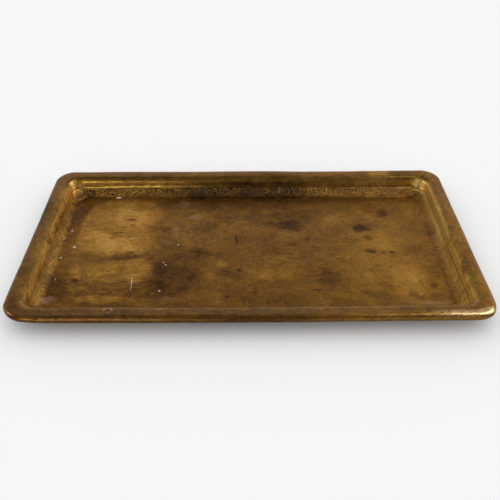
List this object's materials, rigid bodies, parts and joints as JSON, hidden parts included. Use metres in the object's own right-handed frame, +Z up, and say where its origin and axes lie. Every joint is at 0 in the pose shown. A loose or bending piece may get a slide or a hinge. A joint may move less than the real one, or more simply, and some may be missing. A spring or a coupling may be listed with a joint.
{
  "type": "rectangular paten plate",
  "caption": "Shallow rectangular brass paten plate with rounded corners, a broad hammered cove, short steep sides and a rolled, wired rim.",
  "frame": {"origin": "centre of the flat underside, on the resting plane", "axes": "+X along the long side, +Y towards the back, +Z up; the wire's butt joint is in the back side at +X"},
  "size_m": [0.305, 0.165, 0.0149],
  "materials": {
    "patinated_brass": "aged satin, brown and olive patina, worn golden on the high places",
    "wire_brass": "drawn",
    "solder": "dull"
  },
  "bodies": {
    "root": {"pan": "patinated_brass", "rim_wire": "wire_brass", "rim_solder_seam": "solder"}
  },
  "joints": []
}
